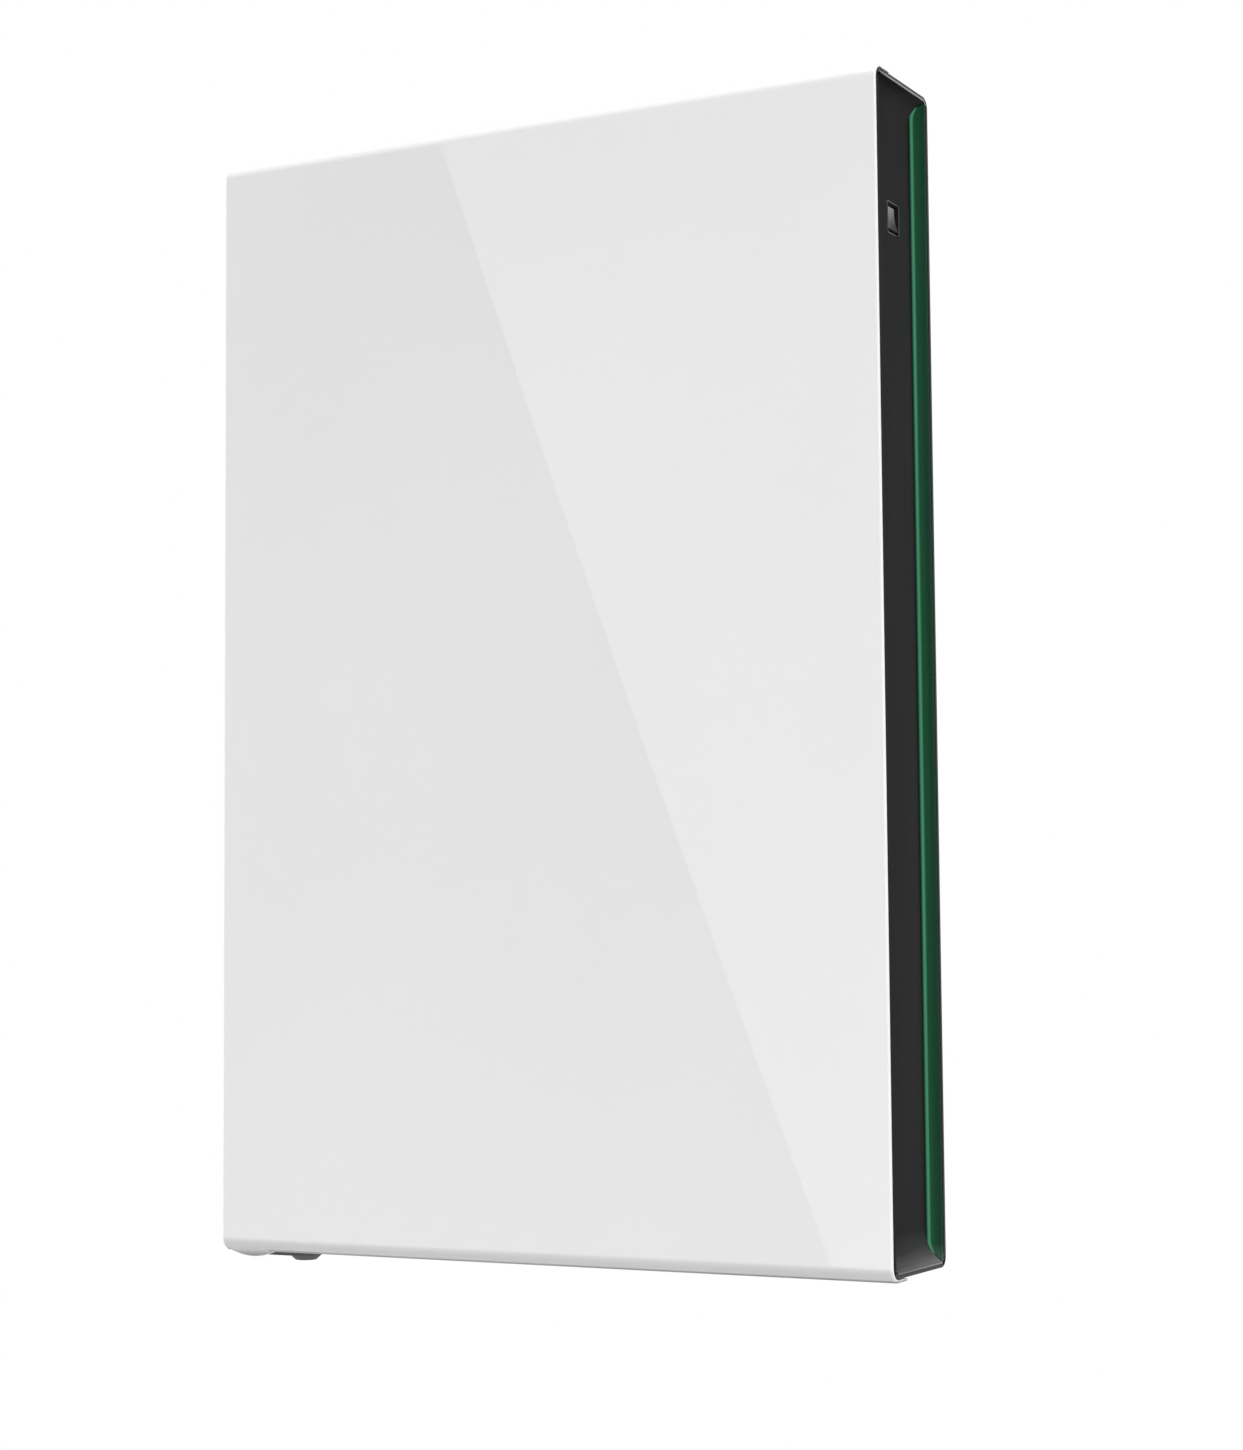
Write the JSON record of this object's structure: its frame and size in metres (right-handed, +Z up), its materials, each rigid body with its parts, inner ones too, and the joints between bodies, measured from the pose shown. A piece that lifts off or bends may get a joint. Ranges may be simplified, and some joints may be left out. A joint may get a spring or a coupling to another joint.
{
  "type": "wall battery unit",
  "caption": "Slim upright home battery that hangs on a wall bracket: glossy white front, dark shell with a scooped side recess, green light strip and rocker switch.",
  "frame": {"origin": "centre of the wall bracket's four bolt holes, on the wall plane", "axes": "+Z up, +Y into the wall, +X to the right as seen from the front"},
  "size_m": [0.753, 0.147, 1.162],
  "materials": {
    "cover_white": "gloss",
    "clip_white": "satin",
    "shell_charcoal": "satin",
    "panel_charcoal": "satin",
    "black_plastic": "satin",
    "gloss_black": "gloss",
    "steel": "satin",
    "aluminium": "satin",
    "copper": "satin",
    "brass": "satin",
    "board_green": "satin",
    "lit_guide": "gloss",
    "tinted_lens": "gloss",
    "rubber": "matte",
    "cell_steel": "satin",
    "tray_plastic": "satin",
    "insulator_red": "satin",
    "capacitor_blue": "gloss",
    "winding": "gloss",
    "tank_milky": "satin",
    "terminal_grey": "satin"
  },
  "bodies": {
    "unit": {"cover_studs": "black_plastic", "rear_shell": "shell_charcoal", "front_frame": "shell_charcoal", "bay_dividers": "shell_charcoal", "inner_lid": "aluminium", "lid_gasket": "rubber", "case_screws": "steel", "right_side_panel": "panel_charcoal", "left_vent_panel": "panel_charcoal", "light_guide": "lit_guide", "light_lens": "tinted_lens", "lamp_board": "board_green", "switch_housing": "black_plastic", "switch_pin": "steel", "switch_terminals": "brass", "wall_bracket": "steel", "hanger_rail": "steel", "lock_blocks": "steel", "lock_screws": "steel", "wall_pads": "rubber", "module_trays": "tray_plastic", "upper_cells": "cell_steel", "lower_cells": "cell_steel", "collector_strips": "copper", "cold_plates": "aluminium", "cell_monitor_boards": "board_green", "dc_busbars": "copper", "busbar_insulators": "insulator_red", "inverter_cold_plate": "aluminium", "power_modules": "black_plastic", "inverter_board": "board_green", "board_standoffs": "brass", "capacitors": "capacitor_blue", "inductors": "winding", "relays": "black_plastic", "dc_contactor": "black_plastic", "main_fuse": "tray_plastic", "control_board": "board_green", "bay_shelf": "aluminium", "fan_shroud": "steel", "fan_frames": "black_plastic", "radiator": "aluminium", "pump_body": "black_plastic", "coolant_tank": "tank_milky", "tank_cap": "black_plastic", "coolant_pipes": "aluminium", "pump_hose": "rubber", "terminal_rail": "steel", "terminal_blocks": "terminal_grey", "earth_bar": "brass", "conduit_hub": "panel_charcoal", "hub_nut": "steel"},
    "cover": {"front_cover": "cover_white", "cover_clips": "clip_white"},
    "wiring_access": {"wiring_cover": "panel_charcoal", "wiring_cover_screws": "steel"},
    "rocker": {"switch_rocker": "gloss_black"},
    "upper_fan": {"upper_fan_rotor": "black_plastic"},
    "lower_fan": {"lower_fan_rotor": "black_plastic"},
    "impeller": {"pump_impeller": "tray_plastic"}
  },
  "joints": [
    {"name": "cover_pull", "type": "slide", "parent": "unit", "child": "cover", "axis": [0, -1, 0], "range_m": [0, 0.06]},
    {"name": "wiring_cover_pull", "type": "slide", "parent": "unit", "child": "wiring_access", "axis": [-1, 0, 0], "range_m": [0, 0.06]},
    {"name": "switch_rock", "type": "hinge", "parent": "unit", "child": "rocker", "pos_m": [0.351, -0.063, 0.217], "axis": [0, 1, 0], "range_deg": [0, 20]},
    {"name": "upper_fan_spin", "type": "hinge", "parent": "unit", "child": "upper_fan", "pos_m": [-0.335, -0.0735, -0.272], "axis": [1, 0, 0], "continuous": true},
    {"name": "lower_fan_spin", "type": "hinge", "parent": "unit", "child": "lower_fan", "pos_m": [-0.335, -0.0735, -0.368], "axis": [1, 0, 0], "continuous": true},
    {"name": "impeller_spin", "type": "hinge", "parent": "unit", "child": "impeller", "pos_m": [-0.3205, -0.08, -0.095], "axis": [0, 1, 0], "continuous": true}
  ]
}
